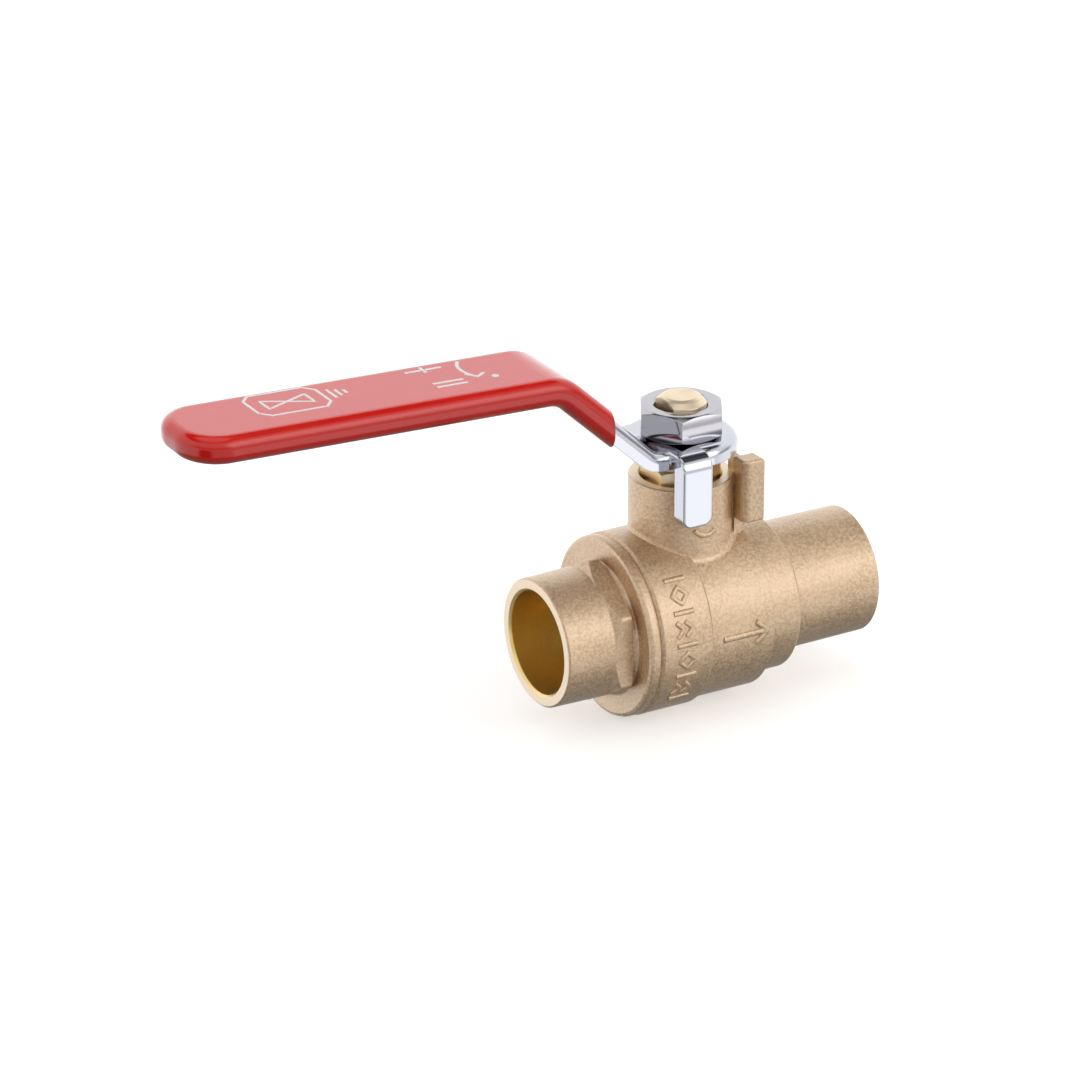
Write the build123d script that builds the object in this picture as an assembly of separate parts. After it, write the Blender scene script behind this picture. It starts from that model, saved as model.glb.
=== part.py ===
"""Two-piece solder-end ball valve with a lever handle.

Frame: the origin is the centre of the ball. +X runs along the pipe towards the
outlet cup, +Z runs up the stem. The valve is open: the lever lies along -X.
All lengths are in millimetres.
"""
from build123d import *
from math import cos, hypot, radians, sin, sqrt, tan
import os

os.makedirs("parts", exist_ok=True)

# ---- driving dimensions ----------------------------------------------------------
# solder cups for 15.875 mm (half-inch nominal) copper tube
CUP_BORE_R = 7.99
CUP_DEPTH = 12.7
CUP_OUTER_R = 9.9
INLET_MOUTH_X = -24.93
OUTLET_MOUTH_X = 29.91
MOUTH_CHAMFER = 0.35

# flow way, ball and seats
PORT_R = 6.5
BALL_R = 10.5
SEAT_GAP = 0.05
SEAT_INNER_R = 6.6
SEAT_OUTER_R = 9.45
SEAT_FRONT_X = 6.9
SEAT_BACK_X = 10.0
SEAT_POCKET_R = 9.5
CAVITY_R = 11.0

# forged body: radius of each turned step along X
SPLIT_X = -11.3
BARREL_R = 14.1
BARREL_END_X = -2.6
WAIST_R = 13.6
WAIST_END_X = 8.45
SHOULDER_R = 12.15
SHOULDER_END_X = 14.35

# end cap
FLANGE_R = 13.95
FLANGE_X = -13.3
HEX_AF = 20.0
HEX_X = (-17.1, -14.1)
BOSS_R = 11.93
BOSS_BORE_R = 12.0
BOSS_END_X = -7.0
SEAL_T = 0.7

# stem neck and packing chamber
NECK_R = 7.85
NECK_TOP_Z = 22.5
NECK_ROOT_FILLET = 1.3
CHAMBER_R = 6.02
CHAMBER_FLOOR_Z = 14.9
COLLAR_POCKET_R = 5.45
COLLAR_CEILING_Z = 13.4

# stem
STEM_R = 3.9
STEM_BORE_R = 3.96
STEM_TOP_Z = 34.9
STEM_SHOULDER_Z = 27.4
FLATS_AF = 5.8
COLLAR_R = 5.2
COLLAR_Z = (10.8, 12.6)
TANG_X = 3.9
TANG_Y = 7.6
TANG_FOOT_Z = 7.85
SLOT_WIDTH = 4.1
SLOT_FLOOR_Z = 7.65

# packing set, from the chamber floor up
PACKING_T = 2.0
GLAND_WASHER_T = 0.6
GLAND_HEX_AF = 10.4
GLAND_HEX_Z = 21.4
GLAND_TOP_Z = 24.5
GLAND_BORE_R = 3.98

# stop lug on the neck and its hidden partner for the open stop
LUG_X = (6.55, 10.05)
LUG_Y = (-7.6, -4.4)
LUG_Z = (15.2, 25.2)
LUG_CORNER_R = 1.2
LUG_WEB_Y = -2.9
REAR_TAB_CLEAR_X = 7.75
OPEN_STOP_X = (-2.7, -0.75)
OPEN_STOP_Y = (6.8, 9.7)
OPEN_STOP_TOP_Z = 19.6

# lever: a stamped channel, flat side up, whose rim turns down all round
SHEET_T = 1.8
RIM_DEPTH = 3.05
HEAD_RIM_DEPTH = 2.65
RIM_EDGE_R = 1.6
HEAD_R = 8.55
HEAD_TOP_Z = 29.2
ARM_HALF_W = 6.9
HEAD_BLEND_R = 7.0
LEVER_END_X = -83.3
LEVER_CORNER_R = 5.5

# stop tabs: the front one rests in sight, the rear one works between the two stops
FRONT_TAB_X = (-5.95, -0.75)
REAR_TAB_X = (-0.65, 4.2)
TAB_T = 2.6
TAB_REACH_Y = 10.6
TAB_FOOT_Z = 18.0
TAB_BEND_R = 2.2

# the arm's top line: slope up from the head, then the nearly level grip
SLOPE_FOOT_X = -7.7
SLOPE_DEG = 43.0
GRIP_DEG = 2.45
BEND_X = -23.7
ARM_LINE_END_X = -88.0
FOOT_BEND_R = 3.0
GRIP_BEND_R = 7.0

# vinyl sleeve over the arm
VINYL_TOP_T = 0.75
VINYL_SIDE_T = 0.85
VINYL_UNDER_T = 0.5
SLEEVE_EDGE_R = 1.8
SLEEVE_FOOT_X = -16.0
SLEEVE_END_X = -84.3
SLEEVE_CORNER_R = 6.3

# handle nut
NUT_AF = 12.0
NUT_H = 4.5
NUT_BORE_R = 4.0


# ---- helpers ---------------------------------------------------------------------
def turned(points, axis=Axis.X):
    """Solid of revolution from (along, radius) points, with its seam away from the neck."""
    if axis == Axis.X:
        outline = [(x, 0.0, -r) for x, r in points]
    else:
        outline = [(r, 0.0, z) for z, r in points]
    return revolve(make_face(Polyline(*outline, close=True)), axis)


def rod_x(x0, x1, radius):
    """Cylinder along X."""
    return turned([(x0, 0), (x1, 0), (x1, radius), (x0, radius)])


def rod_z(z0, z1, radius):
    """Cylinder along Z."""
    return turned([(z0, 0), (z1, 0), (z1, radius), (z0, radius)], Axis.Z)


def tube_z(z0, z1, inner, outer):
    """Ring along Z."""
    return turned([(z0, inner), (z1, inner), (z1, outer), (z0, outer)], Axis.Z)


def block(x, y, z):
    """Box between three (low, high) pairs."""
    size = [high - low for low, high in (x, y, z)]
    centre = [(low + high) / 2 for low, high in (x, y, z)]
    return Pos(*centre) * Box(*size)


def hex_prism_z(across_flats, z0, z1, turn=0.0):
    """Hexagonal prism along Z; at turn 0 two flats face +Y and -Y."""
    sketch = RegularPolygon(across_flats / 2, 6, major_radius=False, rotation=turn)
    return extrude(Plane.XY.offset(z0) * sketch, z1 - z0)


def rounded(solid, radius, pick):
    """Fillet of the edges that pick() selects by their centre point."""
    return fillet([edge for edge in solid.edges() if pick(edge)], radius)


def save(node, solid):
    """Write one sub-part to parts/."""
    solid = Compound(children=list(solid.solids())) if len(solid.solids()) > 1 else solid.solid()
    export_step(solid, f"parts/{node}.step")


# ---- forged body -----------------------------------------------------------------
def neck_and_stops():
    """Stem neck with its filleted foot, the square stop lug and the open stop."""
    neck = rod_x(SPLIT_X + 0.5, -SPLIT_X, WAIST_R) + rod_z(0.0, NECK_TOP_Z, NECK_R)
    neck = rounded(neck, NECK_ROOT_FILLET, lambda edge: 10 < edge.center().Z < WAIST_R + 0.1
                   and edge.geom_type != GeomType.CIRCLE)
    neck = neck - (rod_x(WAIST_END_X, -SPLIT_X + 1, WAIST_R + 4) - rod_z(0.0, WAIST_R + 6, NECK_R))
    lug_foot = block((LUG_X[0], LUG_X[1] - 1.5), (LUG_Y[0] + 3.0, -2.5), (8.0, LUG_Z[0] + 0.5))
    lug_web = block((LUG_X[0], REAR_TAB_CLEAR_X), (LUG_Y[1] - 0.5, LUG_WEB_Y), (8.0, LUG_Z[1] - 0.1))
    lug = rounded(block(LUG_X, LUG_Y, LUG_Z), LUG_CORNER_R, lambda edge: edge.center().X < LUG_X[0] + 0.1
                  and edge.center().Y < LUG_Y[0] + 0.1)
    lug = rounded(lug, 0.4, lambda edge: abs(edge.tangent_at(0.5).Z) < 0.1)
    open_stop = rounded(block(OPEN_STOP_X, OPEN_STOP_Y, (8.0, OPEN_STOP_TOP_Z)), 0.3,
                        lambda edge: edge.center().Z > OPEN_STOP_TOP_Z - 0.1)
    return neck + lug_foot + lug_web + lug + open_stop


def make_body():
    outside = turned([
        (SPLIT_X, 0), (SPLIT_X, BARREL_R - 0.45), (SPLIT_X + 0.45, BARREL_R),
        (BARREL_END_X - 0.15, BARREL_R), (BARREL_END_X + 0.35, WAIST_R),
        (WAIST_END_X - 0.4, WAIST_R), (WAIST_END_X, WAIST_R - 0.4), (WAIST_END_X, SHOULDER_R + 0.35),
        (WAIST_END_X + 0.35, SHOULDER_R), (SHOULDER_END_X - 0.4, SHOULDER_R),
        (SHOULDER_END_X, SHOULDER_R - 0.4), (SHOULDER_END_X, CUP_OUTER_R + 0.35),
        (SHOULDER_END_X + 0.35, CUP_OUTER_R), (OUTLET_MOUTH_X - 0.25, CUP_OUTER_R - 0.08),
        (OUTLET_MOUTH_X, CUP_OUTER_R - 0.33), (OUTLET_MOUTH_X, 0)])
    shell = outside + neck_and_stops()
    flow_way = turned([
        (SPLIT_X - 1, 0), (SPLIT_X - 1, BOSS_BORE_R + 0.6), (SPLIT_X, BOSS_BORE_R + 0.5),
        (SPLIT_X + 0.5, BOSS_BORE_R), (BOSS_END_X + SEAL_T, BOSS_BORE_R),
        (BOSS_END_X + SEAL_T, CAVITY_R), (SEAT_FRONT_X, CAVITY_R), (SEAT_FRONT_X, SEAT_POCKET_R),
        (SEAT_BACK_X, SEAT_POCKET_R), (SEAT_BACK_X, PORT_R),
        (OUTLET_MOUTH_X - CUP_DEPTH, PORT_R), (OUTLET_MOUTH_X - CUP_DEPTH, CUP_BORE_R),
        (OUTLET_MOUTH_X - MOUTH_CHAMFER, CUP_BORE_R),
        (OUTLET_MOUTH_X, CUP_BORE_R + MOUTH_CHAMFER), (OUTLET_MOUTH_X + 1, CUP_BORE_R + MOUTH_CHAMFER),
        (OUTLET_MOUTH_X + 1, 0)])
    stem_way = turned([
        (5.0, 0), (5.0, COLLAR_POCKET_R), (COLLAR_CEILING_Z, COLLAR_POCKET_R),
        (COLLAR_CEILING_Z, STEM_BORE_R), (CHAMBER_FLOOR_Z, STEM_BORE_R), (CHAMBER_FLOOR_Z, CHAMBER_R),
        (NECK_TOP_Z - 0.4, CHAMBER_R), (NECK_TOP_Z, CHAMBER_R + 0.3),
        (NECK_TOP_Z + 1, CHAMBER_R + 0.3), (NECK_TOP_Z + 1, 0)], Axis.Z)
    body = shell - flow_way - stem_way
    return rounded(body, 0.3, lambda edge: edge.geom_type == GeomType.CIRCLE
                   and abs(edge.center().Z - NECK_TOP_Z) < 0.01
                   and abs(edge.radius - NECK_R) < 0.01)


# ---- end cap, seal and seats -----------------------------------------------------
def make_end_cap():
    cup = turned([
        (INLET_MOUTH_X, 0), (INLET_MOUTH_X, CUP_OUTER_R - 0.25), (INLET_MOUTH_X + 0.25, CUP_OUTER_R),
        (HEX_X[0], CUP_OUTER_R + 0.15), (HEX_X[1], CUP_OUTER_R + 0.15),
        (FLANGE_X - 0.4, CUP_OUTER_R + 0.2), (FLANGE_X, CUP_OUTER_R + 0.6), (FLANGE_X, 0)])
    hexagon = Plane.YZ.offset(HEX_X[0]) * RegularPolygon(HEX_AF / 2, 6, major_radius=False,
                                                         rotation=90)
    wrench = extrude(hexagon, HEX_X[1] - HEX_X[0])
    wrench = fillet(wrench.edges().filter_by(Axis.X), 0.9)
    corner_r = HEX_AF / 2 / cos(radians(30))
    wrench = wrench & turned([
        (HEX_X[0], 0), (HEX_X[0], CUP_OUTER_R + 0.05), (HEX_X[0] + 1.3, corner_r + 0.1),
        (HEX_X[1] - 0.3, corner_r + 0.1), (HEX_X[1], corner_r - 0.6), (HEX_X[1], 0)])
    flange = turned([
        (FLANGE_X, 0), (FLANGE_X, FLANGE_R - 0.6), (FLANGE_X + 0.18, FLANGE_R - 0.18),
        (FLANGE_X + 0.6, FLANGE_R), (SPLIT_X - 0.5, FLANGE_R), (SPLIT_X - 0.15, FLANGE_R - 0.15),
        (SPLIT_X, FLANGE_R - 0.5), (SPLIT_X, 0)])
    boss = turned([
        (SPLIT_X - 0.2, 0), (SPLIT_X - 0.2, BOSS_R - 0.35), (SPLIT_X + 0.9, BOSS_R - 0.35),
        (SPLIT_X + 1.2, BOSS_R), (BOSS_END_X - 0.3, BOSS_R), (BOSS_END_X, BOSS_R - 0.3),
        (BOSS_END_X, 0)])
    flow_way = turned([
        (INLET_MOUTH_X - 1, 0), (INLET_MOUTH_X - 1, CUP_BORE_R + MOUTH_CHAMFER),
        (INLET_MOUTH_X, CUP_BORE_R + MOUTH_CHAMFER), (INLET_MOUTH_X + MOUTH_CHAMFER, CUP_BORE_R),
        (INLET_MOUTH_X + CUP_DEPTH, CUP_BORE_R), (INLET_MOUTH_X + CUP_DEPTH, PORT_R),
        (-SEAT_BACK_X, PORT_R), (-SEAT_BACK_X, SEAT_POCKET_R), (BOSS_END_X + 1, SEAT_POCKET_R),
        (BOSS_END_X + 1, 0)])
    return cup + wrench + flange + boss - flow_way


def make_body_seal():
    return turned([
        (BOSS_END_X, CAVITY_R + 0.05), (BOSS_END_X, BOSS_BORE_R - 0.05),
        (BOSS_END_X + SEAL_T, BOSS_BORE_R - 0.05), (BOSS_END_X + SEAL_T, CAVITY_R + 0.05)])


def make_seat(side):
    """PTFE seat ring; side is -1 at the inlet and +1 at the outlet."""
    low_x, high_x = sorted((side * SEAT_FRONT_X, side * SEAT_BACK_X))
    ring = rod_x(low_x, high_x, SEAT_OUTER_R) - rod_x(low_x - 1, high_x + 1, SEAT_INNER_R)
    return ring - Rot(0, 0, 90) * Sphere(BALL_R + SEAT_GAP)


# ---- ball and stem ---------------------------------------------------------------
def make_ball():
    ball = Sphere(BALL_R) - rod_x(-BALL_R, BALL_R, PORT_R)
    slot = block((-SLOT_WIDTH / 2, SLOT_WIDTH / 2), (-BALL_R, BALL_R), (SLOT_FLOOR_Z, BALL_R + 1))
    ball = ball - slot
    port_x = sqrt(BALL_R ** 2 - PORT_R ** 2)
    return rounded(ball, 0.35, lambda edge: edge.geom_type == GeomType.CIRCLE
                   and abs(abs(edge.center().X) - port_x) < 0.05
                   and abs(edge.radius - PORT_R) < 0.01)


def make_stem():
    shaft = turned([
        (COLLAR_Z[0], 0), (COLLAR_Z[0], COLLAR_R - 0.3), (COLLAR_Z[0] + 0.3, COLLAR_R),
        (COLLAR_Z[1] - 0.2, COLLAR_R), (COLLAR_Z[1], COLLAR_R - 0.2), (COLLAR_Z[1], STEM_R),
        (STEM_TOP_Z - 0.9, STEM_R), (STEM_TOP_Z - 0.25, STEM_R - 0.75), (STEM_TOP_Z, STEM_R - 1.5),
        (STEM_TOP_Z, 0)], Axis.Z)
    tang = block((-TANG_X / 2, TANG_X / 2), (-TANG_Y / 2, TANG_Y / 2),
                 (TANG_FOOT_Z, COLLAR_Z[0] + 0.2))
    tang = rounded(tang, 0.4, lambda edge: abs(edge.center().Z - TANG_FOOT_Z) < 0.01)
    stem = shaft + tang
    for side in (-1, 1):
        near, far = sorted((side * FLATS_AF / 2, side * 8.0))
        stem = stem - block((near, far), (-8, 8), (STEM_SHOULDER_Z, STEM_TOP_Z + 1))
    return stem


# ---- stem packing ----------------------------------------------------------------
def packing_levels():
    """Z of the faces between the chamber floor and the gland nut, from the floor up."""
    floor = CHAMBER_FLOOR_Z
    middle = floor + PACKING_T
    washer = middle + PACKING_T
    return floor, middle, washer, washer + GLAND_WASHER_T


def make_packing_ring(z0):
    return tube_z(z0, z0 + PACKING_T, STEM_BORE_R, CHAMBER_R - 0.04)


def make_gland_nut():
    foot_z = packing_levels()[3]
    thread = rod_z(foot_z, GLAND_HEX_Z + 0.1, CHAMBER_R - 0.06)
    corner_r = GLAND_HEX_AF / 2 / cos(radians(30))
    hexagon = hex_prism_z(GLAND_HEX_AF, GLAND_HEX_Z, GLAND_TOP_Z, 30) & turned([
        (GLAND_HEX_Z, 0), (GLAND_HEX_Z, corner_r), (GLAND_TOP_Z - 0.5, corner_r),
        (GLAND_TOP_Z, GLAND_HEX_AF / 2 - 0.1), (GLAND_TOP_Z, 0)], Axis.Z)
    return thread + hexagon - rod_z(foot_z - 1, GLAND_TOP_Z + 1, GLAND_BORE_R)


# ---- lever, sleeve and nut -------------------------------------------------------
def arm_line(offset):
    """Side view of the arm's top line, moved inwards by offset: foot, bend and end."""
    slope, grip = radians(SLOPE_DEG), radians(GRIP_DEG)
    bend_z = HEAD_TOP_Z + (SLOPE_FOOT_X - BEND_X) * tan(slope)
    half_turn = (slope + grip) / 2
    foot = (SLOPE_FOOT_X - offset * tan(slope / 2), HEAD_TOP_Z - offset)
    bend = (BEND_X - offset * sin(half_turn) / cos((slope - grip) / 2),
            bend_z - offset * cos(half_turn) / cos((slope - grip) / 2))
    end_z = bend[1] + (bend[0] - ARM_LINE_END_X) * tan(grip)
    return foot, bend, (ARM_LINE_END_X, end_z)


def arm_band(top_offset, low_offset, half_width, head_depth=None):
    """Side profile between two offsets from the top line, made solid across the width.

    head_depth is how far the band reaches below the head's top, where that differs from
    low_offset.
    """
    top, low = arm_line(top_offset), list(arm_line(low_offset))
    if head_depth is not None:
        rise = low_offset - head_depth
        low[0] = (low[0][0] - rise / tan(radians(SLOPE_DEG)), low[0][1] + rise)
    front_x = HEAD_R + 1
    outline = [(front_x, top[0][1]), *top, *reversed(low), (front_x, low[0][1])]
    radii = {1: FOOT_BEND_R + top_offset, 2: GRIP_BEND_R - top_offset,
             5: GRIP_BEND_R - low_offset, 6: FOOT_BEND_R + low_offset}
    solid = extrude(make_face(Plane.XZ * Polyline(*outline, close=True)), half_width, both=True)
    for index, radius in radii.items():
        x, z = outline[index]
        solid = rounded(solid, radius, lambda edge: edge.geom_type == GeomType.LINE
                        and abs(edge.tangent_at(0.5).Y) > 0.99
                        and hypot(edge.center().X - x, edge.center().Z - z) < 0.05)
    return solid


def arm_plan(half_width, end_x, corner_r):
    """Plan of the arm: straight sides and a rounded free end."""
    plan = Pos(end_x / 2, 0) * Rectangle(-end_x, 2 * half_width)
    return fillet([v for v in plan.vertices() if v.X < end_x + 0.1], corner_r)


def lever_plan():
    """Plan of the lever: the round head blended into the arm."""
    plan = Circle(HEAD_R) + arm_plan(ARM_HALF_W, LEVER_END_X, LEVER_CORNER_R)
    return fillet([v for v in plan.vertices() if -HEAD_R < v.X < 0], HEAD_BLEND_R)


def tall(plan):
    """A plan made into a column that spans the lever's whole height."""
    return extrude(plan, 80)


def top_line_z(x):
    """Height of the arm's top line above x."""
    foot, bend, end = arm_line(0.0)
    if x > foot[0]:
        return foot[1]
    (x0, z0), (x1, z1) = (foot, bend) if x > bend[0] else (bend, end)
    return z0 + (x - x0) * (z1 - z0) / (x1 - x0)


def is_outline(edge):
    """True for the edges round a lever-shaped solid, and not for those across it or upright."""
    crossing = abs(edge.tangent_at(0.5).Y) > 0.99 and abs(edge.center().Y) < 1
    return abs(edge.tangent_at(0.5).Z) < 0.95 and not crossing


def make_tab(side):
    """Stop tab at side -1 (front) or +1 (rear), bent down from the head."""
    reach, foot = side * TAB_REACH_Y, TAB_FOOT_Z
    root, inner = side * (HEAD_R - 3.0), side * (TAB_REACH_Y - TAB_T)
    outline = [(root, HEAD_TOP_Z), (reach, HEAD_TOP_Z), (reach, foot), (inner, foot),
               (inner, HEAD_TOP_Z - SHEET_T), (root, HEAD_TOP_Z - SHEET_T)]
    low_x, high_x = FRONT_TAB_X if side < 0 else REAR_TAB_X
    profile = make_face(Plane.YZ.offset(low_x) * Polyline(*outline, close=True))
    tab = extrude(profile, high_x - low_x, dir=(1, 0, 0))
    tab = rounded(tab, TAB_BEND_R, lambda edge: abs(edge.center().Y - reach) < 0.01
                  and abs(edge.center().Z - HEAD_TOP_Z) < 0.01)
    tab = rounded(tab, 1.5, lambda edge: abs(edge.tangent_at(0.5).Y) > 0.99
                  and abs(edge.center().Z - foot) < 0.01)
    return rounded(tab, 0.45, lambda edge: abs(edge.center().Y - reach) < TAB_BEND_R
                   and edge.center().Z < HEAD_TOP_Z - 0.01
                   and abs(edge.tangent_at(0.5).X) < 0.9)


def make_lever():
    outside = tall(lever_plan()) & arm_band(0.0, RIM_DEPTH, HEAD_R + 1, HEAD_RIM_DEPTH)
    outside = rounded(outside, RIM_EDGE_R, lambda edge: is_outline(edge)
                      and edge.center().Z > top_line_z(edge.center().X) - RIM_DEPTH / 2)
    inside_plan = offset(lever_plan(), -SHEET_T)
    inside = tall(inside_plan) & arm_band(SHEET_T, RIM_DEPTH + 1.5, HEAD_R + 1)
    lever = outside + make_tab(-1) + make_tab(1) - inside
    hole = rod_z(HEAD_TOP_Z - 5, HEAD_TOP_Z + 1, STEM_R + 0.1)
    hole = hole & block((-FLATS_AF / 2 - 0.05, FLATS_AF / 2 + 0.05), (-8, 8), (0, 60))
    return lever - hole


def make_grip_sleeve():
    plan = arm_plan(ARM_HALF_W + VINYL_SIDE_T, SLEEVE_END_X, SLEEVE_CORNER_R)
    outer = tall(plan) & arm_band(-VINYL_TOP_T, RIM_DEPTH + VINYL_UNDER_T, HEAD_R + 1)
    outer = outer - block((SLEEVE_FOOT_X, 20), (-20, 20), (0, 80))
    outer = rounded(outer, SLEEVE_EDGE_R, lambda edge: is_outline(edge)
                    and edge.center().X < SLEEVE_FOOT_X - 0.1)
    room_plan = arm_plan(ARM_HALF_W + 0.02, LEVER_END_X - 0.02, LEVER_CORNER_R)
    return outer - (tall(room_plan) & arm_band(-0.02, RIM_DEPTH + 0.02, HEAD_R + 1))


def make_handle_nut():
    top = HEAD_TOP_Z + NUT_H
    corner_r = NUT_AF / 2 / cos(radians(30))
    flat_r = NUT_AF / 2 - 0.15
    chamfer_h = (corner_r - flat_r) * tan(radians(30))
    envelope = turned([
        (HEAD_TOP_Z, 0), (HEAD_TOP_Z, flat_r), (HEAD_TOP_Z + chamfer_h, corner_r),
        (top - chamfer_h, corner_r), (top, flat_r), (top, 0)], Axis.Z)
    bore = turned([
        (HEAD_TOP_Z - 1, 0), (HEAD_TOP_Z - 1, NUT_BORE_R + 0.4), (HEAD_TOP_Z, NUT_BORE_R + 0.4),
        (HEAD_TOP_Z + 0.4, NUT_BORE_R), (top - 0.4, NUT_BORE_R), (top, NUT_BORE_R + 0.4),
        (top + 1, NUT_BORE_R + 0.4), (top + 1, 0)], Axis.Z)
    return (hex_prism_z(NUT_AF, HEAD_TOP_Z, top, 0) & envelope) - bore


# ---- build -----------------------------------------------------------------------
floor_z, middle_z, washer_z, gland_z = packing_levels()
save("body", make_body())
save("end_cap", make_end_cap())
save("body_seal", make_body_seal())
save("seat_inlet", make_seat(-1))
save("seat_outlet", make_seat(1))
save("ball", make_ball())
save("stem", make_stem())
save("thrust_washer", tube_z(COLLAR_Z[1], COLLAR_CEILING_Z, STEM_BORE_R, COLLAR_POCKET_R - 0.05))
save("packing_ring_lower", make_packing_ring(floor_z))
save("packing_ring_upper", make_packing_ring(middle_z))
save("gland_washer", tube_z(washer_z, gland_z, STEM_BORE_R, CHAMBER_R - 0.04))
save("gland_nut", make_gland_nut())
save("lever", make_lever())
save("grip_sleeve", make_grip_sleeve())
save("handle_nut", make_handle_nut())
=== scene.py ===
"""Looks of a two-piece solder-end ball valve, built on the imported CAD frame.

Metres. The pipe runs along X, the stem along Z, and the lever lies along -X.
"""
from math import cos, hypot, pi, radians, sin, tan

import bpy
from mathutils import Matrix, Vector


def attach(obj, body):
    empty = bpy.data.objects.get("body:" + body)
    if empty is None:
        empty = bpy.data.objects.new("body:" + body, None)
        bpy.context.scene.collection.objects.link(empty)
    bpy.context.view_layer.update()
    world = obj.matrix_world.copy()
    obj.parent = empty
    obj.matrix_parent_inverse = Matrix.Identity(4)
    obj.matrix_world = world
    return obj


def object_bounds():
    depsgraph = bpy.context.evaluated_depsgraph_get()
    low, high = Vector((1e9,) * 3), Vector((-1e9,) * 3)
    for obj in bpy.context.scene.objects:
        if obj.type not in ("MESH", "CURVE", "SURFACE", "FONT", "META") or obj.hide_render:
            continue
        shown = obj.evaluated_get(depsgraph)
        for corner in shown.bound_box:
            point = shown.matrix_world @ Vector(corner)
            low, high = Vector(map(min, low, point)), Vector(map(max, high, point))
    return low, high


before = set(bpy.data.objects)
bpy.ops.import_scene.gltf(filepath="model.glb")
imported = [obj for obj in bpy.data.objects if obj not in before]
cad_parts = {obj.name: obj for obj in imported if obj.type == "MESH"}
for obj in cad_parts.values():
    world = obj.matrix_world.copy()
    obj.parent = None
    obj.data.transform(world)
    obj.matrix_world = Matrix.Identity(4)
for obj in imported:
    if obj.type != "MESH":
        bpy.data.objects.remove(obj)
CAD_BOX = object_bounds()
MM = 0.001

# ---- camera ----------------------------------------------------------------------
VIEW_AZIMUTH = radians(30.15)
VIEW_ELEVATION = radians(24.03)
CAMERA_DISTANCE = 0.8
CAMERA_LEFT = 0.02038
CAMERA_UP = 0.00969
CAMERA_REACH = 20.0
LENS_MM = 175.1
SENSOR_MM = 36.0


def make_camera():
    """A long lens that looks down on the valve from the front left."""
    back = Vector((-sin(VIEW_AZIMUTH) * cos(VIEW_ELEVATION),
                   -cos(VIEW_AZIMUTH) * cos(VIEW_ELEVATION), sin(VIEW_ELEVATION)))
    right = Vector((cos(VIEW_AZIMUTH), -sin(VIEW_AZIMUTH), 0.0))
    up = back.cross(right)
    data = bpy.data.cameras.new("camera")
    data.sensor_width = SENSOR_MM
    data.lens = LENS_MM
    data.clip_end = CAMERA_REACH
    camera = bpy.data.objects.new("camera", data)
    bpy.context.scene.collection.objects.link(camera)
    rotation = camera.matrix_world.to_3x3()
    rotation.col[0], rotation.col[1], rotation.col[2] = right, up, back
    camera.rotation_euler = rotation.to_euler()
    camera.location = back * CAMERA_DISTANCE - right * CAMERA_LEFT + up * CAMERA_UP
    bpy.context.scene.camera = camera


# ---- node helpers ----------------------------------------------------------------
class Graph:
    """Short calls for building one node tree."""

    def __init__(self, tree):
        self.tree = tree

    def node(self, kind, **settings):
        made = self.tree.nodes.new(kind)
        for name, value in settings.items():
            setattr(made, name, value)
        return made

    def feed(self, target, value):
        """Link a socket, or set a plain number or colour."""
        if isinstance(value, bpy.types.NodeSocket):
            self.tree.links.new(value, target)
        elif value is not None:
            target.default_value = value

    def math(self, operation, a, b=None):
        made = self.node("ShaderNodeMath", operation=operation)
        self.feed(made.inputs[0], a)
        self.feed(made.inputs[1], b)
        return made.outputs[0]

    def add(self, a, b):
        return self.math("ADD", a, b)

    def times(self, a, b):
        return self.math("MULTIPLY", a, b)

    def inverse(self, a):
        """1 - a."""
        return self.math("SUBTRACT", 1.0, a)

    def ramp(self, value, low, high, to_low=0.0, to_high=1.0):
        """Smooth step from to_low at low to to_high at high."""
        made = self.node("ShaderNodeMapRange", interpolation_type="SMOOTHSTEP")
        for index, item in enumerate((value, low, high, to_low, to_high)):
            self.feed(made.inputs[index], item)
        return made.outputs[0]

    def mix(self, factor, a, b):
        """Colour a at factor 0, colour b at factor 1."""
        made = self.node("ShaderNodeMix", data_type="RGBA")
        self.feed(made.inputs[0], factor)
        self.feed(made.inputs[6], a)
        self.feed(made.inputs[7], b)
        return made.outputs[2]

    def noise(self, vector, scale, detail=2.0, roughness=0.5):
        made = self.node("ShaderNodeTexNoise")
        self.feed(made.inputs["Vector"], vector)
        for name, value in (("Scale", scale), ("Detail", detail), ("Roughness", roughness)):
            made.inputs[name].default_value = value
        return made.outputs[0]

    def stretched(self, vector, scale):
        """The vector with its own scale along each axis, for lines and brushed finishes."""
        made = self.node("ShaderNodeMapping")
        self.feed(made.inputs["Vector"], vector)
        made.inputs["Scale"].default_value = scale
        return made.outputs[0]

    def bump(self, height, strength, distance, normal=None):
        made = self.node("ShaderNodeBump")
        made.inputs["Strength"].default_value = strength
        made.inputs["Distance"].default_value = distance
        self.feed(made.inputs["Height"], height)
        self.feed(made.inputs["Normal"], normal)
        return made.outputs[0]


# cosine of the bevel's turn at which an edge starts to show, and at which it shows in full
EDGE_COS_OFF = 0.995
EDGE_COS_FULL = 0.90


def rgb(red, green, blue):
    return (red, green, blue, 1.0)


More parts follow.
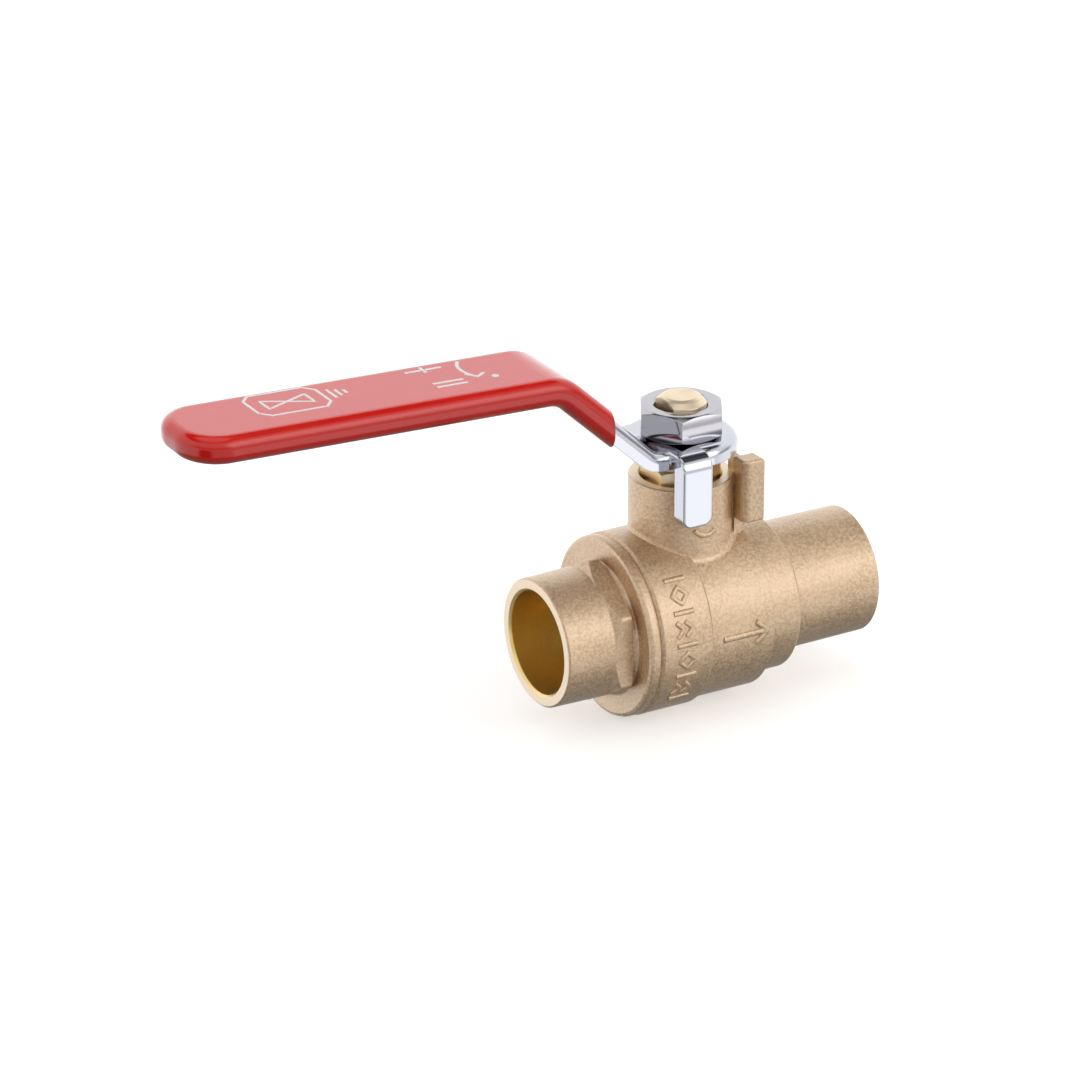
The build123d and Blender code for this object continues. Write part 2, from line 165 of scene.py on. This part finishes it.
class Material(Graph):
    """A Principled material read in object coordinates, so its pattern rides with the piece."""

    def __init__(self, name, **fixed):
        self.material = bpy.data.materials.new(name)
        self.material.use_nodes = True
        super().__init__(self.material.node_tree)
        self.shader = next(n for n in self.tree.nodes if n.type == "BSDF_PRINCIPLED")
        self.place = self.node("ShaderNodeTexCoord").outputs["Object"]
        self.set(**fixed)

    def set(self, **values):
        """Principled inputs by name, with _ for a space."""
        for name, value in values.items():
            self.feed(self.shader.inputs[name.replace("_", " ")], value)

    def axes(self):
        """The object's x, y and z, in metres."""
        made = self.node("ShaderNodeSeparateXYZ")
        self.feed(made.inputs[0], self.place)
        return tuple(made.outputs)

    def edge_mask(self, radius):
        """A mask that is 1 along edges and 0 on open faces, and a normal that rounds the edges."""
        bevel = self.node("ShaderNodeBevel", samples=4)
        bevel.inputs["Radius"].default_value = radius
        normal = self.node("ShaderNodeNewGeometry").outputs["Normal"]
        dot = self.node("ShaderNodeVectorMath", operation="DOT_PRODUCT")
        self.feed(dot.inputs[0], bevel.outputs[0])
        self.feed(dot.inputs[1], normal)
        return self.ramp(dot.outputs["Value"], EDGE_COS_OFF, EDGE_COS_FULL), bevel.outputs[0]


# ---- studio ----------------------------------------------------------------------
FLOOR_GAP = 0.3 * MM
FLOOR_Z = CAD_BOX[0][2] - FLOOR_GAP
FLOOR_SIZE = 2.4
FLOOR_GLOW = 0.42
# radiance of each zone of the studio
WALL = 1.15
GAP = 0.05
FRONT = 0.95
FRONT_LOW = 0.35
OVERHEAD = 0.95
TABLE_NEAR = 0.30
TABLE_FRONT = 0.86
TABLE_SIDE = 1.2
KEY = 1.7
TABLE_GLOW = 0.60
# part of the table's light that reaches matt surfaces
TABLE_DIFFUSE = 0.30
# angle from the horizon, in degrees, over which each zone fades in or out
WALL_TOP = (43, 49)
FRONT_FOOT = (6, 24)
FRONT_TOP = (50, 60)
OVERHEAD_FOOT = (60, 69)
TABLE_NEAR_EDGE = (-42, -26)
# the direction's Y, from the front to the wall behind
WALL_SIDE = (-0.30, 0.10)
TABLE_TURN = (-0.86, -0.40)
HORIZON = 0.06
# lobes: direction, then the angles in degrees at which each starts to fade and ends
KEY_LOBE = ((0.46, -0.82, 0.38), 8, 27)
GLOW_LOBE = ((0.46, -0.79, -0.41), 5, 13)
DARK_LOBE = ((-0.72, -0.56, -0.41), 10, 20)
DARK_DEPTH = 0.93


def direction_lobe(graph, direction, toward, inner_deg, outer_deg):
    """1 inside a cone round toward, fading to 0 at its outer angle."""
    dot = graph.node("ShaderNodeVectorMath", operation="DOT_PRODUCT")
    graph.feed(dot.inputs[0], direction)
    dot.inputs[1].default_value = Vector(toward).normalized()
    return graph.ramp(dot.outputs["Value"], cos(radians(outer_deg)), cos(radians(inner_deg)))


def climb(graph, height, degrees, to_low=0.0, to_high=1.0):
    """Smooth step between two angles from the horizon."""
    low, high = (sin(radians(angle)) for angle in degrees)
    return graph.ramp(height, low, high, to_low, to_high)


def make_world():
    """A white studio: bright wall behind, dim gap above it, soft box in front, pale table.

    The camera itself sees plain white.
    """
    world = bpy.data.worlds.new("studio")
    world.use_nodes = True
    bpy.context.scene.world = world
    graph = Graph(world.node_tree)
    background = next(n for n in world.node_tree.nodes if n.type == "BACKGROUND")
    direction = graph.node("ShaderNodeTexCoord").outputs["Generated"]
    split = graph.node("ShaderNodeSeparateXYZ")
    graph.feed(split.inputs[0], direction)
    depth, height = split.outputs["Y"], split.outputs["Z"]
    behind = graph.ramp(depth, *WALL_SIDE)
    wall = climb(graph, height, WALL_TOP, WALL, GAP)
    front = graph.times(climb(graph, height, FRONT_FOOT, FRONT_LOW, FRONT),
                        climb(graph, height, FRONT_TOP, 1.0, GAP))
    above = graph.add(graph.times(behind, wall), graph.times(graph.inverse(behind), front))
    above = graph.add(above, climb(graph, height, OVERHEAD_FOOT, 0.0, OVERHEAD))
    table = graph.ramp(depth, *TABLE_TURN, TABLE_FRONT, TABLE_SIDE)
    far = climb(graph, height, TABLE_NEAR_EDGE)
    below = graph.add(graph.times(far, table), graph.times(graph.inverse(far), TABLE_NEAR))
    path = graph.node("ShaderNodeLightPath")
    share = graph.ramp(path.outputs["Is Diffuse Ray"], 0.0, 1.0, 1.0, TABLE_DIFFUSE)
    below = graph.times(below, share)
    up = graph.ramp(height, -HORIZON, HORIZON)
    total = graph.add(graph.times(above, up), graph.times(below, graph.inverse(up)))
    key = graph.times(direction_lobe(graph, direction, *KEY_LOBE), KEY)
    glow = graph.times(direction_lobe(graph, direction, *GLOW_LOBE), TABLE_GLOW)
    dark = graph.times(direction_lobe(graph, direction, *DARK_LOBE), DARK_DEPTH)
    total = graph.add(graph.times(total, graph.inverse(dark)), graph.add(key, glow))
    seen = path.outputs["Is Camera Ray"]
    strength = graph.add(graph.times(total, graph.inverse(seen)), seen)
    graph.feed(background.inputs["Strength"], strength)
    background.inputs["Color"].default_value = rgb(1, 1, 1)


def make_floor():
    """Plain pale floor that shows the shadow and stays out of reflections."""
    mesh = bpy.data.meshes.new("floor")
    half = FLOOR_SIZE / 2
    mesh.from_pydata([(-half, -half, FLOOR_Z), (half, -half, FLOOR_Z), (half, half, FLOOR_Z),
                      (-half, half, FLOOR_Z)], [], [(0, 1, 2, 3)])
    floor = bpy.data.objects.new("floor", mesh)
    bpy.context.scene.collection.objects.link(floor)
    paint = Material("floor_paint", Roughness=0.9, Specular_IOR_Level=0.0,
                     Emission_Strength=FLOOR_GLOW, Emission_Color=rgb(1, 1, 1))
    grain = paint.noise(paint.place, 60.0)
    paint.set(Base_Color=paint.mix(grain, rgb(0.86, 0.86, 0.86), rgb(0.90, 0.90, 0.90)))
    mesh.materials.append(paint.material)
    floor.visible_glossy = False
    floor.visible_diffuse = False


# ---- materials -------------------------------------------------------------------
# where the forging is machined: inside these radii, and past these planes
BORE_R = 8.65 * MM
CHAMBER_R = 6.35 * MM
CHAMBER_FLOOR_Z = 14.8 * MM
NECK_FACE_R = 7.9 * MM
NECK_FACE_Z = 22.45 * MM
INLET_FACE_X = -24.88 * MM
OUTLET_FACE_X = 29.85 * MM

FORGED_SHADE = rgb(0.56, 0.375, 0.215)
FORGED_TONE = rgb(0.64, 0.44, 0.26)
FORGED_GRAIN = rgb(0.80, 0.60, 0.38)
FORGED_PIT = rgb(0.40, 0.25, 0.13)
# lighter colour for the forging's edges: partly wear, partly painted highlight
FORGED_EDGE_WEAR_AND_HIGHLIGHT = rgb(0.86, 0.70, 0.50)
# inside the bore and chamber: machined brass in a deep, light gold, painted light that stands in for
# light bouncing inside the bore
BORE_PAINTED_LIGHT_LOW = rgb(0.96, 0.64, 0.15)
BORE_PAINTED_LIGHT_HIGH = rgb(0.99, 0.78, 0.28)
CUT_FACE = rgb(0.80, 0.63, 0.44)
TURNED_SHADE = rgb(0.84, 0.69, 0.49)
TURNED_TONE = rgb(0.92, 0.79, 0.60)
TURNED_PATINA = rgb(0.84, 0.64, 0.38)
VINYL_SHADE = rgb(0.64, 0.007, 0.002)
VINYL_TONE = rgb(0.74, 0.011, 0.003)
VINYL_BLOOM = rgb(1.0, 0.66, 0.80)
INK_WHITE = rgb(0.90, 0.87, 0.87)
INK_WORN = rgb(0.80, 0.45, 0.44)

# the nut's faces bulge a little about its middle, in metres per square metre
NUT_MIDDLE_Z = 31.45 * MM
NUT_CROWN = 85.0


def brass_material():
    """Sand-blasted forging with machined bores, mouths and neck top. The bores carry a deep, light
    gold that is painted light bouncing inside them. The edges carry a lighter colour that is partly
    wear and partly painted highlight.
    """
    brass = Material("forged_brass", Metallic=0.95, Coat_Weight=0.9, Coat_IOR=1.75,
                     Coat_Roughness=0.30)
    x, y, z = brass.axes()
    from_pipe = brass.math("SQRT", brass.add(brass.times(y, y), brass.times(z, z)))
    from_stem = brass.math("SQRT", brass.add(brass.times(x, x), brass.times(y, y)))
    bore = brass.math("LESS_THAN", from_pipe, BORE_R)
    chamber = brass.times(brass.math("LESS_THAN", from_stem, CHAMBER_R),
                          brass.math("GREATER_THAN", z, CHAMBER_FLOOR_Z))
    mouth_in = brass.math("LESS_THAN", x, INLET_FACE_X)
    mouth_out = brass.math("GREATER_THAN", x, OUTLET_FACE_X)
    neck_top = brass.times(brass.math("GREATER_THAN", z, NECK_FACE_Z),
                           brass.math("LESS_THAN", from_stem, NECK_FACE_R))
    faces = brass.math("MAXIMUM", mouth_in, brass.math("MAXIMUM", mouth_out, neck_top))
    cut = brass.math("MAXIMUM", brass.math("MAXIMUM", bore, chamber), faces)
    broad = brass.noise(brass.place, 130.0, 3.0)
    grain = brass.noise(brass.place, 2100.0, 3.0, 0.75)
    pits = brass.noise(brass.place, 1300.0, 1.0)
    skin = brass.mix(brass.ramp(broad, 0.35, 0.65), FORGED_SHADE, FORGED_TONE)
    skin = brass.mix(brass.ramp(grain, 0.40, 0.60, 0.0, 0.85), skin, FORGED_GRAIN)
    skin = brass.mix(brass.ramp(pits, 0.66, 0.80, 0.0, 0.35), skin, FORGED_PIT)
    edges, soft_normal = brass.edge_mask(0.22 * MM)
    # lighter colour along the edges, partly wear and partly painted highlight
    skin = brass.mix(brass.times(edges, 0.35), skin, FORGED_EDGE_WEAR_AND_HIGHLIGHT)
    turned = brass.noise(brass.stretched(brass.place, (9000.0, 60.0, 60.0)), 1.0)
    # painted light: deep gold inside the bore and chamber, varied along the lathe lines; the machined
    # faces keep their own pale colour
    machined_with_painted_bore_light = brass.mix(turned, BORE_PAINTED_LIGHT_LOW, BORE_PAINTED_LIGHT_HIGH)
    machined_with_painted_bore_light = brass.mix(faces, machined_with_painted_bore_light, CUT_FACE)
    blasted = brass.times(brass.inverse(cut), brass.ramp(grain, 0.3, 0.7, 0.46, 0.58))
    brass.set(Base_Color=brass.mix(cut, skin, machined_with_painted_bore_light),
              Roughness=brass.add(blasted, brass.times(cut, 0.34)))
    heights = brass.add(brass.times(grain, 0.6), brass.times(pits, 0.4))
    heights = brass.add(brass.times(heights, brass.inverse(cut)),
                        brass.times(turned, brass.times(cut, 0.12)))
    brass.set(Normal=brass.bump(heights, 1.0, 0.16 * MM, soft_normal))
    return brass.material


def machined_brass_material():
    """Turned brass with fine lathe lines round the stem and a little patina."""
    brass = Material("machined_brass", Metallic=1.0)
    lines = brass.noise(brass.stretched(brass.place, (40.0, 40.0, 7000.0)), 1.0)
    patina = brass.noise(brass.place, 300.0)
    _, soft_normal = brass.edge_mask(0.12 * MM)
    tone = brass.mix(lines, TURNED_SHADE, TURNED_TONE)
    brass.set(Base_Color=brass.mix(brass.ramp(patina, 0.4, 0.7, 0.0, 0.3), tone, TURNED_PATINA),
              Roughness=brass.ramp(patina, 0.3, 0.7, 0.30, 0.42),
              Normal=brass.bump(lines, 0.12, 0.05 * MM, soft_normal))
    return brass.material


def plated_material(name, low, high, smooth, rough, scale, wave=0.10, crown_z=None):
    """Bright plating, a little cloudy, with softened edges; crown_z is the middle of crowned faces."""
    plate = Material(name, Metallic=1.0)
    cloud = plate.noise(plate.place, scale, 3.0)
    ripple = plate.noise(plate.place, scale * 2.2, 2.0)
    _, normal = plate.edge_mask(0.18 * MM)
    if crown_z:
        _, _, z = plate.axes()
        off_middle = plate.math("SUBTRACT", z, crown_z)
        crown = plate.times(plate.times(off_middle, off_middle), -NUT_CROWN)
        normal = plate.bump(crown, 1.0, 1.0, normal)
    plate.set(Base_Color=plate.mix(cloud, low, high),
              Roughness=plate.ramp(cloud, 0.3, 0.7, smooth, rough),
              Normal=plate.bump(ripple, wave, 0.08 * MM, normal))
    return plate.material


def vinyl_material():
    """Dip-moulded glossy red vinyl, with the slight waviness that dipping leaves."""
    vinyl = Material("red_vinyl", Sheen_Weight=0.20, Sheen_Roughness=0.30, IOR=1.36,
                     Sheen_Tint=VINYL_BLOOM, Coat_Weight=1.0, Coat_IOR=1.36,
                     Coat_Roughness=0.08)
    cloud = vinyl.noise(vinyl.place, 140.0, 3.0)
    orange_peel = vinyl.noise(vinyl.place, 420.0, 2.0)
    vinyl.set(Base_Color=vinyl.mix(cloud, VINYL_SHADE, VINYL_TONE),
              Roughness=vinyl.ramp(cloud, 0.3, 0.7, 0.16, 0.24),
              Normal=vinyl.bump(orange_peel, 0.10, 0.18 * MM))
    return vinyl.material


def soft_part_material(name, low, high, roughness, scale):
    """Matt moulded ring material with a fine mottle."""
    ring = Material(name)
    mottle = ring.noise(ring.place, scale, 3.0)
    ring.set(Base_Color=ring.mix(mottle, low, high),
             Roughness=ring.ramp(mottle, 0.3, 0.7, roughness - 0.08, roughness + 0.05),
             Normal=ring.bump(mottle, 0.2, 0.05 * MM))
    return ring.material


def ink_material():
    """White print, worn pink in specks where the vinyl shows through."""
    ink = Material("white_ink")
    wear = ink.noise(ink.place, 1500.0, 2.0)
    ink.set(Base_Color=ink.mix(ink.ramp(wear, 0.62, 0.78), INK_WHITE, INK_WORN),
            Roughness=ink.ramp(wear, 0.3, 0.7, 0.35, 0.5))
    return ink.material


def dress_nodes():
    """Gives every CAD node its look; returns the two that the marks share."""
    forged = brass_material()
    machined = machined_brass_material()
    steel = plated_material("plated_steel", rgb(0.57, 0.58, 0.64), rgb(0.64, 0.65, 0.70),
                            0.06, 0.13, 160.0)
    nickel = plated_material("plated_nut", rgb(0.47, 0.46, 0.49), rgb(0.53, 0.52, 0.55),
                             0.03, 0.07, 200.0, 0.2, NUT_MIDDLE_Z)
    chrome = plated_material("plated_ball", rgb(0.80, 0.81, 0.83), rgb(0.85, 0.86, 0.88),
                             0.03, 0.06, 120.0)
    ptfe = soft_part_material("ptfe", rgb(0.86, 0.86, 0.84), rgb(0.93, 0.93, 0.91), 0.5, 700.0)
    gasket = soft_part_material("gasket", rgb(0.12, 0.15, 0.13), rgb(0.19, 0.23, 0.20), 0.75, 900.0)
    looks = {
        "body": forged, "end_cap": forged, "body_seal": gasket, "seat_inlet": ptfe,
        "seat_outlet": ptfe, "ball": chrome, "stem": machined, "thrust_washer": ptfe,
        "packing_ring_lower": ptfe, "packing_ring_upper": ptfe, "gland_washer": machined,
        "gland_nut": machined, "lever": steel, "grip_sleeve": vinyl_material(),
        "handle_nut": nickel}
    for node, look in looks.items():
        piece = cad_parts[node]
        for slot in piece.material_slots:
            slot.link = "OBJECT"
            slot.material = look
    return forged, ink_material()


# ---- raised and printed marks ----------------------------------------------------
# strokes are drawn in millimetres, on a sheet that place() lays on the surface
BARREL_R = 14.1 * MM
WAIST_R = 13.6 * MM
NECK_R = 7.85 * MM
# height of a stroke over half its width
MARK_FLATTEN = 0.62
INK_FLATTEN = 0.06
# the sleeve's flat top: a point on it and its fall towards the stem
GRIP_TOP_X = -23.7 * MM
GRIP_TOP_Z = 44.871 * MM
GRIP_SLOPE = radians(2.45)
INK_LIFT = 0.006 * MM
# strokes of the index marks, in millimetres
BAR_ENDS = (-8.7, -5.3)
CHEVRON_SIZE = 1.15
DIAMOND_HALF = 1.3
STROKE_STEP = 0.5


def stroke_piece(name, strokes, radius, place, flatten):
    """Rounded strokes swept along 2-D lines, laid on a surface by place(u, v, height)."""
    curve = bpy.data.curves.new(name, "CURVE")
    curve.dimensions = "3D"
    curve.bevel_depth = radius
    curve.bevel_resolution = 3
    curve.use_fill_caps = True
    for points in strokes:
        closed = points[0] == points[-1]
        points = points[:-1] if closed else points
        spline = curve.splines.new("POLY")
        spline.points.add(len(points) - 1)
        for target, (u, v) in zip(spline.points, points):
            target.co = (u, v, 0.0, 1.0)
        spline.use_cyclic_u = closed
    scratch = bpy.data.objects.new(name + "_scratch", curve)
    mesh = bpy.data.meshes.new_from_object(scratch)
    bpy.data.objects.remove(scratch)
    for vertex in mesh.vertices:
        u, v, height = vertex.co
        vertex.co = place(u, v, height * flatten)
    mesh.shade_smooth()
    piece = bpy.data.objects.new(name, mesh)
    bpy.context.scene.collection.objects.link(piece)
    return piece


def line(start, end):
    """Points along a straight stroke, close enough to bend with the surface."""
    count = max(2, int(hypot(end[0] - start[0], end[1] - start[1]) / STROKE_STEP))
    return [(start[0] + (end[0] - start[0]) * i / count, start[1] + (end[1] - start[1]) * i / count)
            for i in range(count + 1)]


def polyline(*corners):
    """Points along straight strokes from corner to corner."""
    points = []
    for start, end in zip(corners, corners[1:]):
        points += line(start, end)[:-1]
    return points + [corners[-1]]


def arc(centre, radius, start_deg, end_deg, count=24):
    """Points along an arc; a full turn makes a ring or, when small, a dot."""
    angles = [radians(start_deg + (end_deg - start_deg) * i / count) for i in range(count + 1)]
    return [(centre[0] + radius * cos(angle), centre[1] + radius * sin(angle)) for angle in angles]


def on_barrel(surface_radius):
    """Lays (along the pipe, up round the barrel from -Y) on a cylinder round X."""
    def place(u, v, height):
        angle = v / surface_radius
        radius = surface_radius + height
        return Vector((u, -radius * cos(angle), radius * sin(angle)))
    return place


def on_neck(surface_radius):
    """Lays (round the neck from -Y, height) on the stem neck."""
    def place(u, v, height):
        angle = u / surface_radius - pi / 2
        radius = surface_radius + height
        return Vector((radius * cos(angle), radius * sin(angle), v))
    return place


def on_grip(u, v, height):
    """Lays (x, y) on the sloping flat top of the sleeve."""
    return Vector((u, v, GRIP_TOP_Z + (GRIP_TOP_X - u) * tan(GRIP_SLOPE) + INK_LIFT + height))


def scaled(strokes):
    """Strokes given in millimetres, in metres."""
    return [[(u * MM, v * MM) for u, v in points] for points in strokes]


def bar(v):
    """Straight stroke along the pipe."""
    return line((BAR_ENDS[0], v), (BAR_ENDS[1], v))


def chevron(u, v):
    """Arrow head that points along the pipe."""
    return polyline((u, v + CHEVRON_SIZE), (u + CHEVRON_SIZE, v), (u, v - CHEVRON_SIZE))


def diamond(u, v):
    """Square outline that stands on a corner."""
    return polyline((u - DIAMOND_HALF, v), (u, v + DIAMOND_HALF), (u + DIAMOND_HALF, v),
                    (u, v - DIAMOND_HALF), (u - DIAMOND_HALF, v))


def ride_on(piece, body, look):
    """Fastens a mark to a body and look."""
    piece.data.materials.append(look)
    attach(piece, body)


def add_marks(forged, ink):
    """Generic forged-in marks on the body and generic white print on the grip."""
    index_marks = [bar(11.4), diamond(-7.0, 8.8), bar(6.2), chevron(-8.6, 3.7), chevron(-7.1, 3.7),
                   bar(1.2), diamond(-7.0, -1.4), bar(-4.0), chevron(-8.6, -6.5),
                   chevron(-7.1, -6.5), bar(-9.0)]
    flow_arrow = [polyline((-0.4, 0.2), (7.2, 0.2)), polyline((5.3, 1.9), (7.4, 0.2), (5.3, -1.5))]
    crescent = [arc((-0.2, 17.2), 2.1, 208, 318)]
    for name, strokes, half_width, place in (
            ("forged_index_marks", index_marks, 0.42, on_barrel(BARREL_R)),
            ("forged_flow_arrow", flow_arrow, 0.50, on_barrel(WAIST_R)),
            ("forged_neck_mark", crescent, 0.42, on_neck(NECK_R))):
        piece = stroke_piece(name, scaled(strokes), half_width * MM, place, MARK_FLATTEN)
        ride_on(piece, "valve_body", forged)
    frame_line = polyline((-70.6, -0.6), (-69.2, -2.2), (-60.4, -2.2), (-59.0, -0.6), (-59.0, 4.2),
                          (-60.4, 5.8), (-69.2, 5.8), (-70.6, 4.2), (-70.6, -0.6))
    bow_tie = polyline((-68.4, 0.2), (-68.4, 3.4), (-61.2, 0.2), (-61.2, 3.4), (-68.4, 0.2))
    ticks = [line((-57.6 + 1.1 * i, 0.2 + 0.5 * i), (-57.6 + 1.1 * i, 3.6 - 0.5 * i))
             for i in range(3)]
    shut = [line((-44.2, 4.6), (-41.6, 4.6)), line((-41.2, 3.5), (-41.2, 5.7)),
            line((-40.8, 4.6), (-38.2, 4.6))]
    open_way = [line((-42.6, -0.9), (-37.6, -0.9)), line((-42.6, -2.3), (-37.6, -2.3))]
    turn = [arc((-31.2, 2.2), 5.0, 138, 218), polyline((-36.4, 0.7), (-35.2, -1.0), (-33.6, 0.2)),
            arc((-32.7, -1.7), 0.3, 0, 360, 10)]
    for name, strokes, half_width in (
            ("print_valve_symbol", [frame_line, bow_tie] + ticks, 0.24),
            ("print_shut_mark", shut, 0.30),
            ("print_open_mark", open_way, 0.30),
            ("print_turn_arrow", turn, 0.28)):
        piece = stroke_piece(name, scaled(strokes), half_width * MM, on_grip, INK_FLATTEN)
        ride_on(piece, "handle", ink)


bpy.context.scene.view_settings.view_transform = "Standard"
make_camera()
make_world()
make_floor()
add_marks(*dress_nodes())
